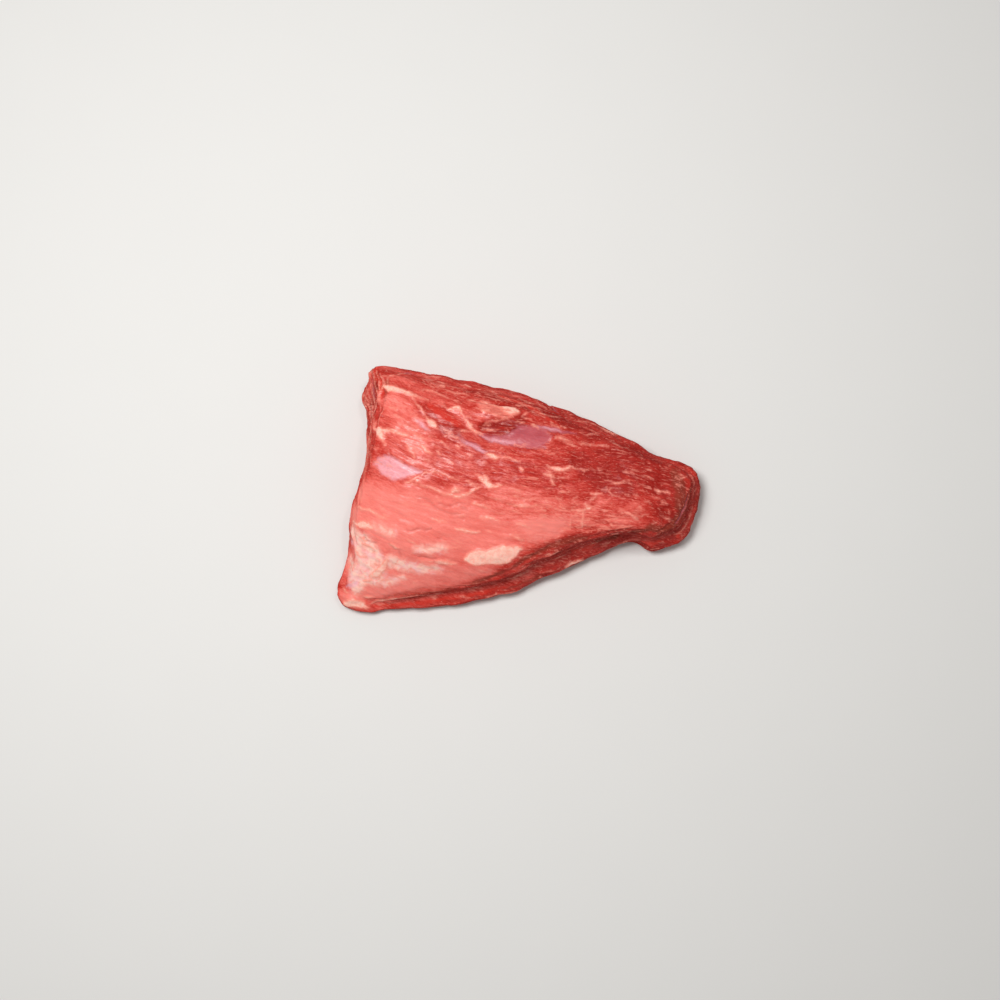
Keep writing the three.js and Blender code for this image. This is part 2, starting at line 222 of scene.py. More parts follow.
    ((488, 557.5, 4.6), (496, 556.5, 5.9), (503, 555, 6.2), (509.5, 553, 4.8),
     (515, 550.5, 3.0), (520.5, 548.5, 1.3)),
    ((499, 548.5, 2.0), (504, 547.5, 2.2), (507, 549, 1.6)),
    ((514, 576, 0.4), (521, 574.5, 0.8), (527, 572.5, 0.4)),
    # pale edge of the lower slab
    ((371.5, 602.5, 0.5), (381, 600.5, 0.7), (393, 598.7, 0.8), (403, 597.5, 0.8),
     (411, 596.3, 1.0), (417, 595.3, 0.8), (430, 594.7, 0.4), (440, 592.7, 0.4)),
    ((460.5, 595.5, 0.7), (464, 596, 0.8)),
    ((481, 599, 0.5), (488, 596.7, 0.6), (496, 594.3, 0.4)),
    # cut end: pale ends of the layers
    ((362.5, 391.5, 0.7), (363.5, 395.5, 0.9)),
)
# Silver skin and other thin film: dark mauve where it is taut over the red
MARKS["film"] = (
    ((478, 433, 0.8), (484, 436.5, 1.8), (492, 438.5, 2.2), (501, 439.5, 2.6), (511, 439, 4.0),
     (519, 437.3, 5.8), (529, 437, 7.0), (538, 437, 6.4), (545, 437, 3.6), (551, 436, 1.0)),
    ((512, 443, 0.8), (524, 445, 1.8), (536, 447, 1.8), (545, 448, 0.8)),
    ((533, 427.5, 1.0), (540, 427.5, 1.6), (547, 428, 2.0), (556, 430.3, 1.9), (564, 432.3, 1.4),
     (576, 434, 0.4)),
    ((451, 434.5, 0.3), (461, 438, 1.0), (470, 443, 1.6), (478, 447.5, 1.8),
     (484, 452, 1.2), (489, 455, 0.4)),
    ((516, 424.5, 0.6), (524, 428, 2.0), (533, 430, 2.0)),
    ((518, 392.7, 0.5), (534, 397.7, 1.2), (548, 404.7, 1.3), (556, 410, 0.9), (560, 414, 0.4)),
    ((400, 372.7, 0.3), (409, 373, 0.8), (418, 375.5, 0.5)),
    ((689, 493, 0.4), (686.5, 504, 0.9), (682, 514, 1.0), (676, 523, 0.8)),
    ((637, 543, 0.5), (641, 547.5, 0.7), (648, 550.5, 0.5)),
    ((372, 380.5, 0.8), (373.5, 390, 0.9), (375, 399, 0.7)),
)
# Thicker, lighter film that lies loose on the meat
MARKS["veil"] = (
    ((376, 463, 1.4), (381, 464, 3.4), (388, 467, 5.8), (396, 469.5, 6.4), (404, 471, 4.6),
     (412, 471.3, 2.8), (421, 471.5, 0.8)),
    ((379, 459.5, 1.4), (385, 458.5, 2.3), (392, 460.5, 2.4)),
    ((388, 474.5, 1.8), (396, 477, 2.2), (402, 477, 1.6)),
    ((346, 587, 1.0), (351, 585.5, 1.8), (357, 584, 1.6)),
    ((478, 434, 0.4), (486, 438.5, 1.1), (496, 441, 1.4), (506, 442.5, 1.5), (514, 443, 0.8)),
    ((537, 427, 0.5), (545, 427, 1.1), (553, 428.7, 1.2), (561, 431.5, 0.7)),
    ((460, 439.5, 0.5), (468, 443.5, 1.4), (477, 448, 1.8), (485, 453, 0.9)),
    ((417, 420.5, 0.9), (422, 424.5, 1.8), (427, 429, 1.1)),
    ((347, 537, 1.2), (352, 542, 2.0)),
)
# Mottled fat and thin film in small cells, soft at its edges
MARKS["mottle"] = (
    ((354, 533, 6.0), (363, 546, 10.0), (369, 560, 12.0), (372, 573, 10.0)),
    ((352, 563, 5.5), (358, 578, 8.0), (356, 590, 4.5)),
    ((415, 550, 2.5), (428, 549, 4.2), (443, 548, 3.6)),
    ((392, 562, 6.0), (405, 566, 5.2), (422, 569, 4.4), (438, 569, 3.4)),
    ((385, 583, 4.0), (402, 577, 3.0)),
    ((376, 527, 3.0), (392, 533, 3.0)),
)
# Lip of pink fat over the torn pocket
MARKS["lip"] = (
    ((479, 404, 1.0), (486, 408.5, 3.2), (497, 411.5, 4.4), (508, 412.5, 4.4), (515.5, 412, 2.8)),
)
# Smooth, pale salmon meat
MARKS["salmon"] = (
    ((362, 492, 6), (380, 505, 10), (410, 510, 12), (440, 515, 10)),
    ((392, 530, 11), (430, 535, 12), (470, 545, 10)),
    ((372, 590, 6), (410, 580, 7), (450, 577, 6), (485, 568, 4)),
    ((455, 505, 9), (480, 530, 11), (505, 538, 7)),
    ((508, 534, 5), (535, 530, 4), (560, 526, 3)),
    ((352, 515, 4), (366, 516, 5), (384, 524, 6)),
    ((374, 534, 6), (386, 542, 6), (402, 550, 6)),
    ((368, 556, 10), (388, 568, 10), (420, 566, 8), (450, 567, 6)),
    ((346, 552, 3), (351, 566, 5), (351, 577, 3)),
    ((344, 596, 2), (356, 597, 3), (370, 592, 4)),
)
# The deeper red of open meat, with painted shade along the foot of the near slab, round the tip's
# end and in the pocket under the lip
MARKS["deep"] = (
    ((372, 606, -1.5), (420, 604.5, -0.8), (470, 598, -0.5), (505, 591, 0.0), (545, 576, 1.0)),
    ((640, 543, 2), (655, 546, 2), (668, 542, 2.5), (682, 530, 2)),
    ((690, 492, 1), (685, 506, 2), (677, 520, 2), (667, 528, 1)),
    ((424, 408, 3), (440, 416, 6), (452, 432, 5)),
    ((470, 392, 3), (490, 395, 4), (520, 404, 5), (550, 416, 4), (590, 436, 4)),
    ((486, 429, 4), (503, 431, 5), (519, 428, 3)),
    ((610, 455, 8), (650, 472, 10), (672, 490, 9), (668, 512, 7)),
    ((580, 460, 6), (620, 490, 8)),
    ((380, 380, 3), (372, 400, 5), (369, 430, 4)),
)
# Painted light: the tone is raised where the light falls brightest, most of all on the near
# shoulder and the near middle
MARKS["pink"] = (
    ((500, 500, 8), (535, 512, 12), (570, 515, 9), (600, 520, 6), (640, 520, 3)),
    ((390, 400, 5), (405, 420, 8), (420, 445, 6)),
    ((600, 500, 4), (640, 508, 3)),
    ((510, 556, 2), (524, 546, 3), (545, 537, 3), (572, 530, 2)),
    ((574, 550, 0), (582, 549, 1), (590, 546, 0)),
    ((512, 577, -1), (521, 574.5, 0), (528, 572, -1)),
)
# Meat that has dried towards brown, with painted shade along the creases and round the tip's end;
# and the brightest wet red
MARKS["dry"] = (
    ((385, 597.5, -0.5), (400, 594.5, 0.0), (425, 593, 0.0), (450, 590, 0.5)),
    ((514, 567, 0.3), (522, 561, 1.0), (534, 555, 1.3), (548, 548, 1.3), (560, 543.5, 1.2),
     (572, 540.5, 1.5), (586, 537.5, 1.0)),
    ((597, 541, 1), (615, 536.5, 1.8), (633, 532, 2.2), (650, 528.5, 2.2), (662, 530, 2)),
    ((691, 488, 0.5), (688, 499, 2.0), (684, 509, 3.2), (678.5, 518.5, 3.2), (671, 527, 2.5),
     (661, 531.5, 1.5)),
    ((674, 472, 2), (679, 484, 4), (681, 496, 3.5), (678, 506, 1.5)),
    ((470, 585, 0.2), (478, 582, 1.3), (490, 577.5, 1.0), (502, 572, 0.8)),
    ((500, 590, -0.5), (520, 584, 0.3), (540, 576, 0.5)),
    ((387, 381, 0.8), (386, 392, 0.8)),
)
# Parts with the most marbling
MARKS["marbled"] = (
    ((545, 508, 4), (570, 516, 7), (600, 522, 7), (625, 524, 5)),
    ((430, 384, 4), (460, 392, 5), (500, 398, 4), (530, 408, 4)),
)
MARKS["wet_red"] = (
    ((576, 549, 3), (586, 547, 4), (592, 544, 2)),
    ((643, 543, 0.8), (652, 544, 1.5), (659, 541, 0.8)),
    ((678, 536, 1), (684, 526, 0.5)),
    ((680, 464, 1), (689, 470, 1.5), (697, 477, 1.5)),
    ((487, 428.5, -1.0), (497, 429.5, 0.0), (509, 429, 0.0), (519, 426, -1.0)),
    ((430, 405, 1.5), (445, 417, 2.5), (458, 424, 1.5)),
    ((500, 396, 1), (515, 401, 2), (530, 407, 2), (545, 418, 1), (560, 426, 0.5)),
    ((548, 446, -0.5), (560, 447, 0), (580, 449, -0.5)),
    ((375, 606, 0.5), (420, 603, 1.0), (470, 595, 1.0), (505, 588, 1.0)),
    ((338, 594, 0.5), (337, 598, 0.5)),
    ((374, 371, 2), (380, 384, 2.5), (382, 395, 2)),
)
# Fine folds, and the deep crease between the upper muscle and the lower slab; both are darkened at
# the bottom with painted shade
MARKS["fold"] = (
    ((416, 496.5, 0.3), (425, 499, 0.4), (434, 505, 0.6), (440, 510, 0.7),
     (448, 512.5, 0.7), (459, 514.5, 0.4)),
    ((439, 503.5, 0.4), (447, 506.5, 0.6), (452, 505.5, 0.5), (456, 504, 0.4),
     (462, 507.5, 0.5), (468, 510.5, 0.3)),
    ((453, 502, 0.3), (462, 503.5, 0.4), (471, 505, 0.3)),
    ((405, 530, 0.3), (411, 530.5, 0.5), (418, 529.3, 0.6), (426, 530.3, 0.5), (431.5, 527.5, 0.3)),
    ((363.5, 535, 0.5), (366, 540, 0.7), (371, 542, 0.4), (376, 543.5, 0.5)),
    ((389.5, 543.5, 0.4), (394, 548, 0.6), (399, 550.5, 0.6), (400, 557, 0.4)),
    ((417, 557.5, 0.3), (426, 558.5, 0.5), (436, 558.7, 0.3)),
    ((458, 517.5, 0.3), (464, 519, 0.4)),
    ((438, 538.5, 0.3), (444, 539.5, 0.3)),
    ((405, 421, 0.3), (413, 427, 0.4), (424, 434, 0.4)),
    ((385, 449, 0.4), (389, 451.5, 0.5), (392, 455, 0.4)),
    ((381, 417, 0.3), (390, 418.5, 0.3)),
    ((372, 446, 0.3), (381, 456, 0.3)),
    ((485, 470.5, 0.3), (500, 474.5, 0.3)),
)
MARKS["crease"] = (
    ((374, 602.5, -2.4), (386, 598, -1.4), (393, 595.3, -1.0), (405, 593.5, -1.0), (418, 592, -0.9),
     (436, 591, -0.8), (455, 588.5, -0.6), (467, 584.3, -0.2), (486, 579.7, 0.5), (505, 574, 0.9),
     (515, 568, 1.0), (529, 558.5, 1.0), (541, 551, 0.9), (556, 543.3, 0.8), (568, 539, 0.5),
     (580, 536.5, -0.2), (592, 535, -1.8)),
    ((596, 543, -1.8), (606, 540, 0.3), (615, 536.5, 0.8), (634, 532, 1.0), (652, 532, 1.0),
     (662, 534, 0.4), (668, 536, -1.5)),
    ((688, 488, -1.8), (686, 496, 0.3), (682.5, 507, 0.8), (675, 518.5, 0.9), (667, 526.5, 0.4),
     (659, 531, -1.5)),
    ((508, 595, -1.5), (518, 591, 0.1), (535, 584, 0.4), (552, 575, 0.4), (566, 569.5, -0.2),
     (576, 565, -1.5)),
    ((379, 378, -0.3), (386, 384, 0.1), (384, 397, 0.0), (380, 410, -0.1), (377, 424, -0.4)),
    ((367.5, 431, -0.2), (368.8, 440, 0.2), (366.5, 450, 0.2), (365, 459, -0.2)),
)
# Dents in the outline of the tip
MARKS["dent"] = (
    ((667, 457, 1.5), (676, 459.5, 2.5), (685, 463.5, 1.5)),
    ((691, 531, 1.5), (687, 536, 2.0), (681, 541, 1.0)),
    ((664, 549, 1.5), (668, 548, 1.5)),
)
# Swelling that closes the far end of the fold at the tip
MARKS["swell"] = (
    ((650, 461, 1.0), (662, 464.5, 2.0), (675, 469, 2.2), (685, 475, 2.0), (690, 482, 1.0)),
)
# Floor of the torn pocket
MARKS["pocket"] = (
    ((485, 426.5, 0.8), (492, 426, 1.8), (501, 426, 2.4), (510, 425, 2.4), (518, 421.5, 1.5),
     (525, 417, 0.4)),
)
# Strands along the cut end, where the layers of the meat are sliced through
STRAND_MARKS = (
    ((372.5, 367.5, 0.5), (373.8, 374, 0.6), (374.5, 380, 0.6), (376.3, 386.3, 0.7),
     (378, 392.5, 0.7), (378, 399, 0.6), (376.3, 405, 0.6), (375.5, 412.5, 0.6), (375, 421, 0.5),
     (374.5, 429, 0.5)),
    ((380, 374, 0.4), (383.5, 381.3, 0.6), (382.5, 389, 0.6), (379, 397, 0.7), (379, 403, 0.5)),
    ((362.5, 391, 0.8), (366.3, 400, 0.7), (369.5, 404, 0.5), (371.3, 410, 0.6),
     (370.7, 419, 0.6), (371.3, 427.5, 0.5)),
    ((366.3, 383.8, 0.5), (368, 392.5, 0.6), (371.3, 401.3, 0.5), (373.8, 407.5, 0.5),
     (374, 415, 0.5)),
    ((369.5, 372, 0.5), (370.5, 383, 0.4), (372, 395, 0.4)),
    ((370, 433, 0.4), (370.5, 442, 0.5), (368.5, 452, 0.5), (367, 462, 0.4)),
    ((386, 371, 0.3), (387.5, 379, 0.4), (388, 386, 0.4)),
)

# How the fibres slope across the joint: dy/dx at places along X, in millimetres
FIBRE_SLOPE = (
    (-114, -0.42), (-70, -0.40), (-35, -0.28), (0, -0.16), (40, -0.10), (80, -0.16),
    (114, -0.35),
)


def length(name, description, default):
    return FloatProperty(name=name, description=description, default=default, unit="LENGTH")


class JointForms(bpy.types.PropertyGroup):
    """Sizes of the sculpted meat."""

    mesh_size: FloatProperty(
        name="Mesh Size", description="Spacing of the sculpted mesh",
        default=0.0008, min=0.0005, unit="LENGTH")
    rounding: IntProperty(
        name="Rounding", description="Passes that round off the facets of the CAD solid",
        default=14, min=0)
    bundle_depth: length("Bundle Depth", "How far the bundles of fibres stand out", 0.00055)
    fibre_depth: length("Fibre Depth", "How far single fibres stand out", 0.0002)
    fat_rise: length("Fat Rise", "How far the fat stands out of the meat", 0.00055)
    film_sink: length("Film Sink", "How far the silver skin lies below the meat", 0.0005)
    crease_depth: length("Crease Depth", "Depth of the creases between the muscles", 0.0007)
    fold_depth: length("Fold Depth", "Depth of the fine folds", 0.0005)
    pocket_depth: length("Pocket Depth", "Depth of the torn pocket under the lip of fat", 0.0013)
    lip_rise: length("Lip Rise", "How far the lip of the pocket stands out", 0.0006)
    strand_rise: length("Strand Rise", "How far the strands of the cut end stand out", 0.0010)
    streaks: IntProperty(
        name="Streaks", description="Small streaks of fat scattered along the fibres",
        default=420, min=0)
    seed: IntProperty(
        name="Seed", description="Seed of the scattered streaks", default=7)


def colour(name, description, default):
    return FloatVectorProperty(
        name=name, description=description, default=default, subtype="COLOR", min=0, max=1)


class JointColours(bpy.types.PropertyGroup):
    """Colours of the meat, and of the shade painted into it."""

    # The darkest stop of the tone, for open meat and for the painted shade of the flanks, the
    # underside, the pocket and the deep marks
    deep: colour("Deep Red", "Shaded and open meat", (0.31, 0.012, 0.008))
    red: colour("Red", "Lean meat", (0.50, 0.030, 0.020))
    pink: colour("Pink", "Lighter lean meat", (0.73, 0.112, 0.086))
    salmon: colour("Salmon", "Smooth, pale meat", (0.88, 0.225, 0.185))
    fat: colour("Fat", "Cream fat", (0.94, 0.53, 0.43))
    fat_edge: colour("Fat Edge", "Thin fat over the meat", (0.91, 0.29, 0.22))
    curd: colour("Mottled Fat", "Pale clouds of the mottled fat", (0.96, 0.60, 0.50))
    mottle: colour("Mottle", "Pink between the clouds of the mottled fat", (0.94, 0.36, 0.30))
    film: colour("Silver Skin", "Taut film over red meat", (0.49, 0.112, 0.138))
    veil: colour("Loose Film", "Thicker film, lilac white", (0.88, 0.43, 0.48))
    # Dried brown meat, also painted as shade along the creases and round the tip's end
    dry: colour("Dried Meat", "Meat that has dried brown", (0.26, 0.040, 0.024))
    wet_red: colour("Wet Red", "Brightest cut meat", (0.62, 0.034, 0.020))
    # Painted shade at the bottom of the creases, folds, seams and gaps
    crease: colour("Crease", "Bottom of the creases", (0.17, 0.018, 0.011))


class Studio(bpy.types.PropertyGroup):
    """Camera, floor and light."""

    elevation: FloatProperty(
        name="Camera Elevation", description="Angle of the camera above the floor",
        default=math.radians(85), subtype="ANGLE")
    distance: FloatProperty(
        name="Camera Distance", description="From the camera to the floor at its aim",
        default=0.878, unit="LENGTH")
    lens: FloatProperty(
        name="Lens", description="Focal length in millimetres", default=50)
    aim: FloatVectorProperty(
        name="Aim", description="Point of the floor at the picture's middle",
        default=(-0.0115, -0.0051, 0), subtype="TRANSLATION", unit="LENGTH")
    floor: colour("Floor", "Colour of the floor", (0.72, 0.71, 0.69))
    key_power: FloatProperty(
        name="Key Light", description="Power of the large soft light", default=9.5, unit="POWER")
    glint_power: FloatProperty(
        name="Glint Light", description="Power of the small light that makes the meat glisten",
        default=1.0, unit="POWER")
    sky: FloatProperty(
        name="Sky", description="Strength of the light from all round", default=0.32, min=0)


class Shading:
    """Writes one node tree. add() makes any node, and returns its output as a Value."""

    def __init__(self, tree):
        self.tree = tree
        tree.nodes.clear()

    def add(self, kind, settings=None, sockets=None, output=0):
        node = self.tree.nodes.new(kind)
        for name, value in (settings or {}).items():
            if name == "stops":
                self.set_stops(node.color_ramp, value)
            else:
                setattr(node, name, value)
        for key, value in (sockets or {}).items():
            if isinstance(value, Value):
                self.tree.links.new(value.socket, node.inputs[key])
            else:
                node.inputs[key].default_value = value
        return Value(self, node.outputs[output]) if node.outputs else node

    def set_stops(self, ramp, stops):
        while len(ramp.elements) < len(stops):
            ramp.elements.new(1)
        for element, (place, shade) in zip(ramp.elements, stops):
            element.position = place
            element.color = (*shade, 1)

    def field(self, name, output="Fac"):
        return self.add("ShaderNodeAttribute", {"attribute_name": name}, output=output)

    def step(self, value, start, end):
        """0 at start and 1 at end, smooth between them."""
        return self.add("ShaderNodeMapRange", {"interpolation_type": "SMOOTHSTEP"},
                        {0: value, 1: start, 2: end})

    def stretched(self, vector, lengths):
        """A vector in millimetres, scaled so that lengths become one unit."""
        return self.add("ShaderNodeVectorMath", {"operation": "DIVIDE"}, {0: vector, 1: lengths})

    def noise(self, vector, lengths, detail=2.0, roughness=0.5, distortion=0.0):
        return self.add("ShaderNodeTexNoise", {}, {
            "Vector": self.stretched(vector, lengths), "Scale": 1.0, "Detail": detail,
            "Roughness": roughness, "Distortion": distortion})

    def blend(self, factor, under, over):
        return self.add("ShaderNodeMix", {"data_type": "RGBA"}, {0: factor, 6: under, 7: over}, 2)


class Value:
    """A socket's value, for shader maths written as Python."""

    def __init__(self, shading, socket):
        self.shading = shading
        self.socket = socket

    def maths(self, operation, first, second):
        return self.shading.add("ShaderNodeMath", {"operation": operation}, {0: first, 1: second})

    def __add__(self, other):
        return self.maths("ADD", self, other)

    __radd__ = __add__

    def __sub__(self, other):
        return self.maths("SUBTRACT", self, other)

    def __rsub__(self, other):
        return self.maths("SUBTRACT", other, self)

    def __mul__(self, other):
        return self.maths("MULTIPLY", self, other)

    __rmul__ = __mul__

    def at_most(self, other):
        return self.maths("MINIMUM", self, other)

    def at_least(self, other):
        return self.maths("MAXIMUM", self, other)


def meat_material(colours):
    """Raw beef: fibres, marbling, fat, film and creases over one wet surface."""
    material = bpy.data.materials.new("raw_beef")
    material.use_nodes = True
    s = Shading(material.node_tree)
    grain = s.field("grain", "Vector")
    place = s.field("place", "Vector")
    flank = s.field("flank")
    lively = 1 - s.field("calm")

    def shade(name):
        return (*getattr(colours, name), 1)

    # Streaks along the fibres on the top, and layers one above the other on the flanks
    streak = s.noise(grain, (13, 2.6, 5), 3, 0.55, 0.8)
    layer = s.noise(place, (15, 15, 1.7), 3, 0.6, 0.5)
    run = streak + flank * (layer - streak)
    fine_streak = s.noise(grain, (5.5, 0.9, 2.2), 3, 0.6, 0.5)
    fine_layer = s.noise(place, (6, 6, 0.7), 3, 0.6, 0.3)
    fine = fine_streak + flank * (fine_layer - fine_streak)
    cloud = s.noise(grain, (15, 9, 9), 4, 0.6, 0.5)
    pores = s.noise(place, (1.1, 1.1, 1.1), 2, 0.6)
    grit = s.noise(grain, (1.9, 0.7, 1.5), 2, 0.6, 0.4)

    # Lean meat, its dried parts with painted shade along the creases, and the brightest red
    tone = s.field("tone") + (0.25 + 0.40 * lively) * (cloud - 0.5)
    tone = tone + lively * (0.60 * (run - 0.5) + 0.42 * (fine - 0.5))
    tone = tone + (0.10 + 0.50 * lively) * (grit - 0.5)
    base = s.add("ShaderNodeValToRGB", {"stops": (
        (0.0, colours.deep), (0.36, colours.red), (0.66, colours.pink), (1.0, colours.salmon),
    )}, {0: tone})
    dried_and_shaded = s.step(s.field("dry") + 0.7 * (run - 0.5), 0.20, 0.95) * 0.74
    base = s.blend(dried_and_shaded, base, shade("dry"))
    wet_red = s.step(s.field("wet_red") + 0.8 * (fine - 0.5), 0.25, 0.95) * 0.85
    base = s.blend(wet_red, base, shade("wet_red"))

    # Small flecks of marbling along the fibres
    marbled = s.field("marbled")
    fleck = s.noise(grain, (5.5, 1.0, 2.5), 2, 0.5, 0.6)
    thick = s.noise(grain, (9, 1.8, 4), 2, 0.5, 0.8)
    speck = s.noise(grain, (2.6, 0.7, 1.8), 2, 0.55, 0.5)
    flecks = s.step(fleck + 0.07 * marbled, 0.62, 0.78) * (0.25 + 0.20 * marbled)
    flecks = flecks.at_least(s.step(thick + 0.06 * marbled, 0.70, 0.80) * 0.55)
    flecks = flecks.at_least(s.step(speck + 0.05 * marbled, 0.63, 0.76) * 0.5)
    base = s.blend(flecks, base, shade("fat_edge"))

    # Mottled fat: soft clouds of cream and lilac in pink
    curd = s.noise(place, (4.2, 4.2, 4.2), 3, 0.55, 0.8)
    tint = s.noise(place, (6.5, 6.5, 6.5), 2, 0.5, 0.6)
    core = s.field("mottle")
    mottled = s.blend(s.step(curd, 0.28, 0.58) * core, shade("mottle"), shade("curd"))
    mottled = s.blend(s.step(tint, 0.48, 0.68) * 0.45, mottled, shade("veil"))
    mottle = s.step(core + 0.8 * (curd - 0.5), 0.05, 0.95) * 0.92
    base = s.blend(mottle, base, mottled)

    # Films, then fat, each from its distance in millimetres with a ragged edge
    ragged = 1.4 * (fine - 0.5) + 1.5 * (grit - 0.5) + 0.8 * (pores - 0.5)
    film = s.step(s.field("film") + ragged, 0.7, -1.0)
    veil = s.step(s.field("veil") + 1.2 * ragged + 2.0 * (tint - 0.5), 1.0, -1.8)
    base = s.blend(film * (0.72 + 0.7 * (run - 0.5)), base, shade("film"))
    base = s.blend(veil * (0.72 + 1.0 * (tint - 0.5) + 0.5 * (grit - 0.5)), base, shade("veil"))
    base = s.blend(s.field("lip") * (0.45 + 1.0 * (fine - 0.5)), base, shade("fat_edge"))
    fat = s.field("fat") + ragged + 1.2 * (curd - 0.5)
    full_fat = s.step(fat, 0.2, -1.1)
    lobes = s.noise(place, (1.9, 1.9, 1.9), 3, 0.6, 0.6)
    cream = s.blend(s.step(fat, 0.0, -1.6), shade("fat_edge"), shade("fat"))
    cream = s.blend(s.step(lobes, 0.60, 0.34) * 0.5, cream, shade("fat_edge"))
    base = s.blend(s.step(fat, 1.0, -0.6) * 0.6, base, shade("fat_edge"))
    base = s.blend(full_fat, base, cream)

    # Painted shade: the bottoms of the creases, folds and gaps are darkened
    painted_crease_shade = (s.field("crease") * (0.6 + 0.8 * (fine - 0.5))).at_most(1)
    base = s.blend(painted_crease_shade, base, shade("crease"))

    # Gloss: a wet coat that fades on dried meat and at the rim, where bare meat is too rough
    # to mirror the floor
    smooth = film.at_least(veil)
    rim = s.step(s.add("ShaderNodeLayerWeight", {}, {"Blend": 0.5}, "Facing"), 0.22, 0.55)
    rough = 0.42 + 0.34 * (fine - 0.5) - 0.08 * smooth - 0.34 * (cloud - 0.5) + 0.3 * rim
    wet = 0.34 + 1.0 * (cloud - 0.5) + 0.9 * (grit - 0.5) - 0.10 * full_fat - 0.15 * smooth
    wet = wet.at_least(0.0) * (1 - 0.9 * rim) * (0.45 + 0.55 * lively) * (1 - dried_and_shaded)

    # Relief: lively on lean meat, and softer on film and fat
    height = 0.42 * fine + 0.26 * run + 0.16 * pores + 0.20 * grit
    relief = height * (1 - 0.7 * smooth) * (1 - 0.5 * full_fat) * (0.5 + 0.5 * lively)
    relief = relief * (1 - 0.5 * mottle) + 0.6 * curd * mottle
    relief = relief * (1 + 0.6 * flank) + 0.25 * lobes * full_fat
    bump = s.add("ShaderNodeBump", {}, {"Strength": 1.0, "Distance": 0.0008, "Height": relief})
    skin = s.add("ShaderNodeBsdfPrincipled", {}, {
        "Base Color": base,
        "Roughness": rough,
        "Normal": bump,
        "Subsurface Weight": 0.12,
        "Subsurface Radius": (1.0, 0.22, 0.14),
        "Subsurface Scale": 0.002,
        "Specular IOR Level": 0.06,
        "Coat Weight": wet,
        "Coat Roughness": 0.28,
    })
    s.add("ShaderNodeOutputMaterial", {}, {"Surface": skin})
    return material


def noise_at(points, lengths, seed, detail=1):
    """Noise from about -1 to 1 at points in millimetres; detail adds finer octaves."""
    shift = np.array((13.7, 5.3, 29.1)) * (seed + 1)
    scaled = points / np.array(lengths) + shift
    total = np.zeros(len(points))
    for octave in range(detail):
        total += [noise.noise(p) for p in (scaled * 2 ** octave).tolist()] * np.array(0.5 ** octave)
    return total


def step(value, start, end):
    """0 at start and 1 at end, smooth between them."""
    share = np.clip((value - start) / (end - start), 0, 1)
    return share * share * (3 - 2 * share)


class PhotoView:
    """Finds the places on a surface that the photograph's pixels show."""

    def __init__(self, studio, surface):
        self.surface = surface
        aim = Vector(studio.aim)
        tilt = studio.elevation
        self.forward = Vector((0, math.cos(tilt), -math.sin(tilt)))
        self.up = Vector((0, math.sin(tilt), math.cos(tilt)))
        self.eye = aim - studio.distance * self.forward
        self.focus = PHOTO_SIDE * studio.lens / SENSOR

    def place(self, across, down):
        right = across - PHOTO_SIDE / 2
        above = PHOTO_SIDE / 2 - down
        ray = self.forward * self.focus + Vector((right, 0, 0)) + self.up * above
        hit = self.surface.ray_cast(self.eye, ray.normalized())[0]
        if hit is None:
            fraction = (MISS_HEIGHT - self.eye.z) / ray.z
            hit = self.eye + ray * fraction
        return np.array(hit) / MM

    def lines(self, marks):
        """Marks as lines of (place in millimetres, half width)."""
        return [[(self.place(across, down), half) for across, down, half in mark] for mark in marks]


def distance_to_lines(points, lines):
    """Distance in millimetres from each point to the nearest line's edge, below 0 inside."""
    nearest = np.full(len(points), FAR_OFF)
    for line in lines:
        for (start, half_start), (end, half_end) in zip(line, line[1:]):
            reach = FAR_OFF + max(half_start, half_end)
            low = np.minimum(start, end) - reach
            high = np.maximum(start, end) + reach
            close = np.flatnonzero(np.all((points > low) & (points < high), axis=1))
            if not len(close):
                continue
            along = end - start
            offset = points[close] - start
            share = np.clip(offset @ along / max(along @ along, 1e-6), 0, 1)
            gap = np.linalg.norm(offset - share[:, None] * along, axis=1)
            gap -= half_start + (half_end - half_start) * share
            nearest[close] = np.minimum(nearest[close], gap)
    return nearest


class Meat:
    """The rounded solid before it is sculpted: its points in millimetres, and their normals."""

    def __init__(self, mesh):
        flat = np.empty(len(mesh.vertices) * 3)
        mesh.vertices.foreach_get("co", flat)
        self.points = flat.reshape(-1, 3) / MM
        mesh.vertices.foreach_get("normal", flat)
        self.normals = flat.reshape(-1, 3).copy()

    def warped(self):
        """The points, shaken a little, so that marks get uneven edges."""
        shake = np.stack([
            0.9 * noise_at(self.points, (4.5, 4.5, 4.5), seed, 2) for seed in (3, 4, 5)
        ], axis=1)
        return self.points + shake

    def grain(self):
        """Coordinates along and across the fibres."""
        slope_x, slope = np.array(FIBRE_SLOPE).T
        steps = np.linspace(slope_x[0], slope_x[-1], 200)
        slopes = np.interp(steps, slope_x, slope)
        path = np.concatenate([[0], np.cumsum((slopes[1:] + slopes[:-1]) / 2 * np.diff(steps))])
        x, y, z = self.points.T
        drift = np.interp(x, steps, path)
        wave = 1.6 * noise_at(self.points, (26, 26, 26), 9, 2)
        return np.stack([x, y - drift + wave, z], axis=1)


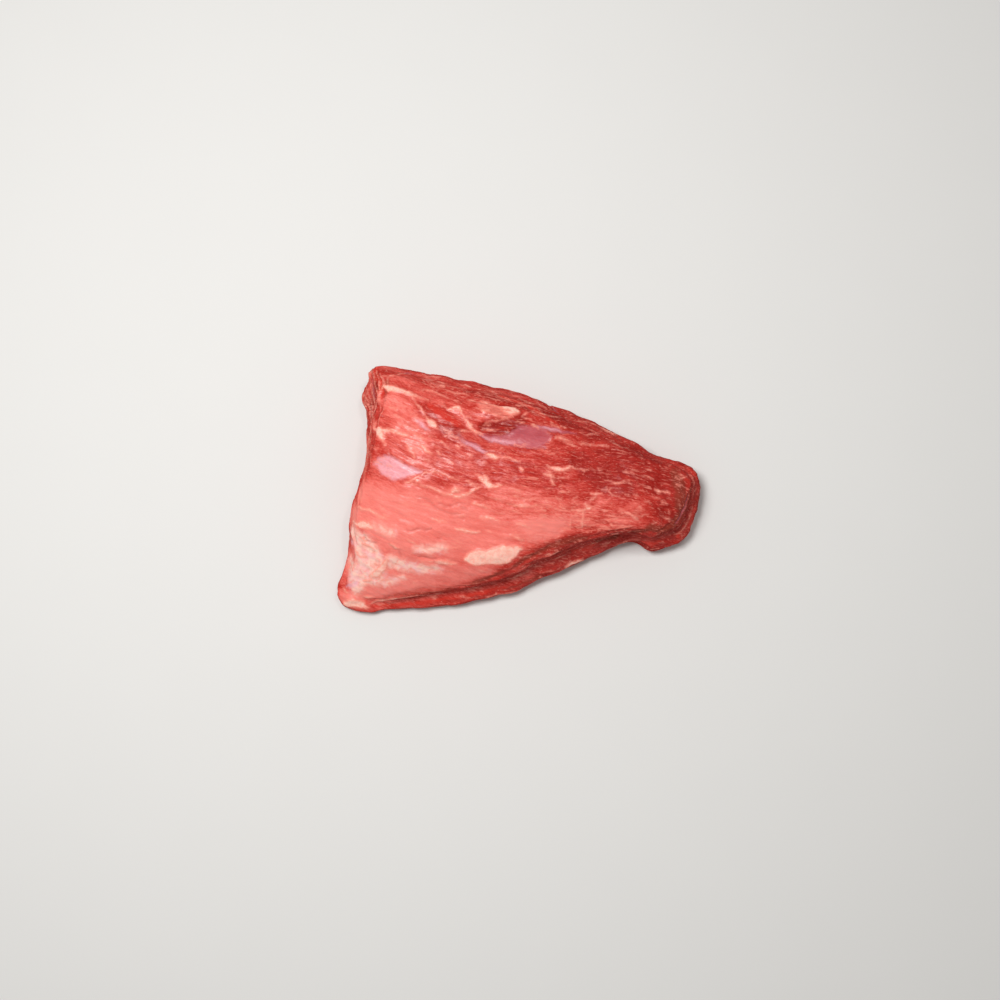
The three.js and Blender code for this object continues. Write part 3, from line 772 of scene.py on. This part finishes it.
class Areas:
    """Where the parts of the meat lie: shares from 0 to 1 at every point, beside the distances
    to marks in millimetres and the noise that the shares come from."""

    def __init__(self, meat, view, forms):
        x, y, z = meat.points.T
        upward = meat.normals[:, 2]
        warped = meat.warped()
        shake = warped - meat.points
        self.grain = meat.grain()
        self.edge = {
            name: distance_to_lines(warped, view.lines(marks)) for name, marks in MARKS.items()}
        self.strands = distance_to_lines(meat.points + 0.35 * shake, view.lines(STRAND_MARKS))

        self.flank = step(upward, 0.80, 0.42) * step(upward, -0.85, -0.5)
        self.under = step(upward, -0.5, -0.85)
        self.cut = step(meat.normals[:, 0], -0.35, -0.75) * step(y, -12, 12) * (1 - self.under)
        self.side = self.flank * (1 - self.cut)
        self.tip = step(x, 76, 98) * (1 - self.under)

        # Layers of the cut end, which wander up and down as they run along it
        self.cords = noise_at(
            np.stack([y, 0.45 * x, z + 0.12 * y], axis=1), (13, 5, 1.7), 21, 2)
        self.seam = step(np.abs(self.cords + 0.12), 0.10, 0.0) * self.cut

        # Layers of the other flanks
        self.ledges = noise_at(self.grain + 0.6 * shake, (21, 21, 2.2), 22, 2)
        self.ledge = step(self.ledges, 0.25, 0.70) * self.side
        self.gap = step(np.abs(self.ledges + 0.12), 0.09, 0.0) * self.side

        # Bundles of fibres on the top, which turn into layers on the flanks
        bundles = noise_at(self.grain, (17, 2.9, 5), 31, 2)
        layers = noise_at(meat.points, (19, 19, 2.3), 33, 2)
        self.runs = bundles + self.flank * (layers - bundles)

        self.salmon = self.near("salmon", 7, -3)
        self.mottle = self.near("mottle", 4.0, -6.0)
        self.crease = self.near("crease", 3.2, -1.0) ** 1.5
        self.fold = self.near("fold", 0.6, -0.3)
        self.lip = self.near("lip", 0.7, -0.5)
        self.pocket = self.near("pocket", 4.5, -0.8) * (1 - self.lip)
        self.fat = self.distance_to_fat(
            distance_to_lines(warped, scattered_streaks(meat, forms)))

    def near(self, name, start, end):
        """0 where a kind of mark is further off than start, and 1 where it is closer than end."""
        return step(self.edge[name], start, end)

    def distance_to_fat(self, scattered):
        """Millimetres to the fat of the marks, the scattered streaks, the strands and layers."""
        cord = step(self.cords, 0.05, 0.45) * self.cut
        fat = np.minimum(np.minimum(self.edge["fat"], scattered), self.strands + 0.15)
        fat = np.where(self.cut > 0.4, np.minimum(fat, 0.9 - 1.1 * cord), fat)
        return np.where(self.side > 0.3, np.minimum(fat, 1.2 - 1.1 * self.ledge), fat)


def carve(meat, areas, forms):
    """How far each point stands out, in millimetres, from the broad forms to the fine ones."""
    points = meat.points
    is_fat = step(areas.fat, 0.5, -0.7)
    is_film = np.maximum(areas.near("film", 0.5, -0.8), 0.4 * areas.near("veil", 1.5, -2.5))
    calm = (1 - 0.75 * is_film) * (1 - 0.45 * areas.salmon) * (1 - 0.6 * is_fat)
    fibres = noise_at(areas.grain, (7, 1.25, 2.5), 32, 1)
    thin_layers = noise_at(points, (8, 8, 1.15), 34, 1)
    thin_runs = fibres + areas.flank * (thin_layers - fibres)
    lumps = noise_at(points, (8, 8, 8), 35, 2)
    fat_lumps = noise_at(points, (2.6, 2.6, 2.6), 36, 1)
    mottle_lumps = noise_at(points, (4.2, 4.2, 4.2), 37, 1)
    tip_lumps = noise_at(areas.grain, (6.0, 3.6, 3.6), 38, 2)

    rise = forms.bundle_depth / MM * areas.runs * calm
    rise *= (1 - 0.75 * areas.under) * (1 + 0.5 * areas.flank)
    rise += forms.fibre_depth / MM * thin_runs * calm
    rise += 0.30 * lumps * (1 - areas.under)
    rise += forms.fat_rise / MM * is_fat * (0.8 + 0.5 * fat_lumps)
    rise += areas.mottle * 0.40 * mottle_lumps
    rise += areas.side * 0.50 * areas.ledges - 0.35 * areas.gap
    rise += areas.tip * 0.60 * tip_lumps
    rise += 1.0 * areas.near("swell", 3.0, -1.0) - 2.0 * areas.near("dent", 4.0, -1.0)
    rise -= forms.film_sink / MM * is_film
    rise -= forms.crease_depth / MM * areas.crease
    rise -= forms.fold_depth / MM * areas.fold
    rise -= forms.pocket_depth / MM * areas.pocket
    rise += forms.lip_rise / MM * areas.lip
    rise += forms.strand_rise / MM * 0.9 * areas.cut * areas.cords - 0.6 * areas.seam
    rise += forms.strand_rise / MM * 0.6 * step(areas.strands, 0.6, -0.4)
    foot = step(points[:, 2], 0.2, 3.0)
    return rise * foot - (1 - foot) * np.abs(0.25 * areas.runs)


def paint(meat, areas):
    """The fields that the material reads, each with a value at every point."""
    x = meat.points[:, 0]
    salmon = areas.salmon
    # Painted shade: the flanks, the underside and the pocket under the lip are darker than the top.
    # The tone is also darker towards the thin end and on the cut end, and lighter where the ledges
    # and bundles stand out
    tone = 0.46 - 0.14 * step(x, -40, 60) + 0.06 * step(x, -20, -90)
    tone += 0.42 * salmon - 0.22 * areas.near("deep", 4, -2) + 0.30 * areas.near("pink", 4, -3)
    tone += -0.14 * areas.flank * (1 - 0.7 * salmon) - 0.06 * areas.cut
    tone += 0.10 * areas.ledge - 0.34 * areas.pocket
    tone += 0.05 * np.clip(areas.runs, -1, 1) - 0.06 * areas.under
    lean_marbling = (0.5 + 0.3 * step(x, -70, 20)) * (1 - salmon)
    return {
        "grain": areas.grain,
        "place": meat.points,
        "flank": areas.side,
        "tone": tone,
        "fat": areas.fat,
        "film": areas.edge["film"],
        "veil": areas.edge["veil"],
        "lip": areas.lip,
        "mottle": areas.mottle,
        # Dried meat, and painted shade along the creases
        "dry": np.maximum(areas.near("dry", 3.2, -1.6), 0.25 * areas.crease),
        "wet_red": areas.near("wet_red", 2.5, -1.5),
        "marbled": lean_marbling + areas.near("marbled", 5, -3),
        "calm": np.maximum(0.72 * salmon, 0.5 * areas.mottle),
        # Painted shade in the creases, the folds, the seams between the layers and the gaps
        "crease": np.maximum.reduce([
            0.25 * areas.near("crease", 1.0, -1.0), 0.28 * areas.fold, 0.5 * areas.seam,
            0.4 * areas.gap]),
    }


def scattered_streaks(meat, forms):
    """Short streaks of fat along the fibres, at seeded places all over the joint."""
    draw = random.Random(forms.seed)
    slope_x, slope = np.array(FIBRE_SLOPE).T
    lines = []
    for _ in range(forms.streaks):
        index = draw.randrange(len(meat.points))
        centre = meat.points[index]
        normal = meat.normals[index]
        turn = draw.gauss(0, 0.18)
        along = np.array((1, np.interp(centre[0], slope_x, slope) + turn, 0.3 * turn))
        along -= (along @ normal) * normal
        length = np.linalg.norm(along)
        if length < 0.4:
            continue
        half_length = draw.uniform(0.8, 2.6) + draw.random() ** 4 * 4
        half_width = draw.uniform(0.16, 0.34) + 0.05 * half_length
        reach = along / length * half_length
        bend = normal * 0.1 + np.array((0, draw.gauss(0, 0.4), 0))
        lines.append([
            (centre - reach, 0.4 * half_width), (centre + bend, half_width),
            (centre + reach, 0.3 * half_width)])
    return lines


def rounded_solid(node, forms):
    """The CAD node's mesh, remeshed evenly, with its facets rounded off."""
    mesh = node.data.copy()
    work = bmesh.new()
    work.from_mesh(mesh)
    bmesh.ops.remove_doubles(work, verts=work.verts, dist=MERGE_DISTANCE)
    work.to_mesh(mesh)
    work.free()
    solid = bpy.data.objects.new("rounded_solid", mesh)
    bpy.context.scene.collection.objects.link(solid)
    remesh = solid.modifiers.new("even", "REMESH")
    remesh.mode = "VOXEL"
    remesh.voxel_size = forms.mesh_size
    smooth = solid.modifiers.new("round", "SMOOTH")
    smooth.iterations = forms.rounding
    smooth.factor = 0.5
    depsgraph = bpy.context.evaluated_depsgraph_get()
    rounded = bpy.data.meshes.new_from_object(solid.evaluated_get(depsgraph))
    bpy.data.objects.remove(solid)
    bpy.data.meshes.remove(mesh)
    return rounded


def write_fields(mesh, fields):
    for name, values in fields.items():
        kind, key = ("FLOAT_VECTOR", "vector") if values.ndim == 2 else ("FLOAT", "value")
        layer = mesh.attributes.new(name, kind, "POINT")
        layer.data.foreach_set(key, np.ascontiguousarray(values, np.float32).ravel())


# The bake's map: each side of the joint laid flat in a square, as (axis, sign, the two axes
# that become across and up, and where its middle goes, in millimetres)
MAP_SIDE = 424
MAP_SIDES = (
    (2, 1, (0, 1), (116, 78)),
    (2, -1, (0, 1), (116, 236)),
    (1, -1, (0, 2), (116, 318)),
    (1, 1, (0, 2), (116, 374)),
    (0, -1, (2, 1), (238, 78)),
    (0, 1, (2, 1), (298, 78)),
)


def lay_out_map(mesh, points, normals):
    """Lays each face flat along the axis that its rounded side faces most."""
    loops = len(mesh.loops)
    corner = np.empty(loops, np.int32)
    mesh.loops.foreach_get("vertex_index", corner)
    starts = np.empty(len(mesh.polygons), np.int32)
    counts = np.empty(len(mesh.polygons), np.int32)
    mesh.polygons.foreach_get("loop_start", starts)
    mesh.polygons.foreach_get("loop_total", counts)
    facing = np.add.reduceat(normals[corner], starts)
    weights = np.stack([facing[:, axis] * sign for axis, sign, _, _ in MAP_SIDES], axis=1)
    side = np.repeat(weights.argmax(axis=1), counts)
    flat = np.zeros((loops, 2))
    for index, (_, _, (across, up), (middle_x, middle_y)) in enumerate(MAP_SIDES):
        chosen = side == index
        where = points[corner[chosen]]
        flat[chosen, 0] = where[:, across] + middle_x
        flat[chosen, 1] = where[:, up] + middle_y
    layer = mesh.uv_layers.new(name="OFBake")
    layer.data.foreach_set("uv", (flat / MAP_SIDE).astype(np.float32).ravel())


class BEEF_OT_joint(bpy.types.Operator):
    """Make the joint: sculpt the CAD solid's form and give it the material of raw beef"""

    bl_idname = "beef.joint"
    bl_label = "Make Joint"

    def execute(self, context):
        forms = context.scene.joint_forms
        mesh = rounded_solid(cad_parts[NODE], forms)
        surface = BVHTree.FromPolygons(
            [v.co for v in mesh.vertices], [p.vertices for p in mesh.polygons])
        meat = Meat(mesh)
        areas = Areas(meat, PhotoView(context.scene.studio, surface), forms)
        lay_out_map(mesh, meat.points, meat.normals)
        shaped = meat.points + carve(meat, areas, forms)[:, None] * meat.normals
        shaped[:, 2] = np.maximum(shaped[:, 2], 0)
        mesh.vertices.foreach_set("co", (shaped * MM).ravel())
        write_fields(mesh, paint(meat, areas))
        mesh.shade_smooth()
        mesh.update()
        mesh.materials.clear()
        mesh.materials.append(meat_material(context.scene.joint_colours))
        joint = bpy.data.objects.new("joint_meat", mesh)
        context.scene.collection.objects.link(joint)
        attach(joint, "root")
        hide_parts(NODE)
        return {"FINISHED"}


def floor_material(base):
    """Matt, with a faint mottle."""
    material = bpy.data.materials.new("pale_floor")
    material.use_nodes = True
    s = Shading(material.node_tree)
    where = s.add("ShaderNodeTexCoord", {}, {}, "Object")
    mottle = s.noise(where, (0.05, 0.05, 0.05), 3)
    darker = tuple(0.985 * part for part in base)
    skin = s.add("ShaderNodeBsdfPrincipled", {}, {
        "Base Color": s.blend(mottle, (*base, 1), (*darker, 1)), "Roughness": 0.8})
    s.add("ShaderNodeOutputMaterial", {}, {"Surface": skin})
    return material


def area_light(name, place, side, power):
    """A round light that faces the middle of the floor."""
    lamp = bpy.data.lights.new(name, "AREA")
    lamp.shape = "DISK"
    lamp.size = side
    lamp.energy = power
    light = bpy.data.objects.new(name, lamp)
    light.location = place
    light.rotation_euler = (-Vector(place)).to_track_quat("-Z", "Y").to_euler()
    bpy.context.scene.collection.objects.link(light)


class BEEF_OT_stage(bpy.types.Operator):
    """Make the stage: pale floor, soft light, and the camera that looks down on the joint"""

    bl_idname = "beef.stage"
    bl_label = "Make Stage"

    def execute(self, context):
        scene = context.scene
        studio = scene.studio
        plane = bpy.data.meshes.new("floor")
        corners = ((-1, -1), (1, -1), (1, 1), (-1, 1))
        plane.from_pydata(
            [(x * FLOOR_REACH, y * FLOOR_REACH, 0) for x, y in corners], [], [(0, 1, 2, 3)])
        plane.materials.append(floor_material(studio.floor))
        floor = bpy.data.objects.new("floor", plane)
        scene.collection.objects.link(floor)

        camera = bpy.data.objects.new("camera", bpy.data.cameras.new("camera"))
        camera.data.lens = studio.lens
        camera.data.sensor_width = SENSOR
        tilt = studio.elevation
        back = Vector((0, -math.cos(tilt), math.sin(tilt)))
        camera.location = Vector(studio.aim) + studio.distance * back
        camera.rotation_euler = (math.pi / 2 - tilt, 0, 0)
        scene.collection.objects.link(camera)
        scene.camera = camera

        area_light("key", (-0.30, 0.16, 1.04), 0.4, studio.key_power)
        area_light("glint", (0.22, 0.30, 1.00), 0.10, studio.glint_power)
        world = bpy.data.worlds.new("studio")
        world.use_nodes = True
        background = world.node_tree.nodes["Background"]
        background.inputs["Color"].default_value = (1, 0.985, 0.96, 1)
        background.inputs["Strength"].default_value = studio.sky
        scene.world = world
        scene.view_settings.view_transform = "Standard"
        scene.view_settings.look = "None"
        return {"FINISHED"}


class BEEF_PT_panel(bpy.types.Panel):
    """Lists the operators and settings of the roasting joint"""

    bl_idname = "BEEF_PT_panel"
    bl_label = "Roasting Joint"
    bl_space_type = "VIEW_3D"
    bl_region_type = "UI"
    bl_category = "Roasting Joint"

    def draw(self, context):
        layout = self.layout
        for operator in (BEEF_OT_joint, BEEF_OT_stage):
            layout.operator(operator.bl_idname)
        for group in [getattr(context.scene, name) for name in GROUPS]:
            column = layout.column()
            for name in group.bl_rna.properties.keys():
                if name not in ("rna_type", "name"):
                    column.prop(group, name)


GROUPS = {"joint_forms": JointForms, "joint_colours": JointColours, "studio": Studio}
CLASSES = (*GROUPS.values(), BEEF_OT_joint, BEEF_OT_stage, BEEF_PT_panel)


def register():
    for each in CLASSES:
        bpy.utils.register_class(each)
    for name, group in GROUPS.items():
        setattr(bpy.types.Scene, name, PointerProperty(type=group))


def unregister():
    for name in GROUPS:
        delattr(bpy.types.Scene, name)
    for each in reversed(CLASSES):
        bpy.utils.unregister_class(each)


def main():
    register()
    bpy.ops.beef.stage()
    bpy.ops.beef.joint()


if __name__ == "__main__":
    main()
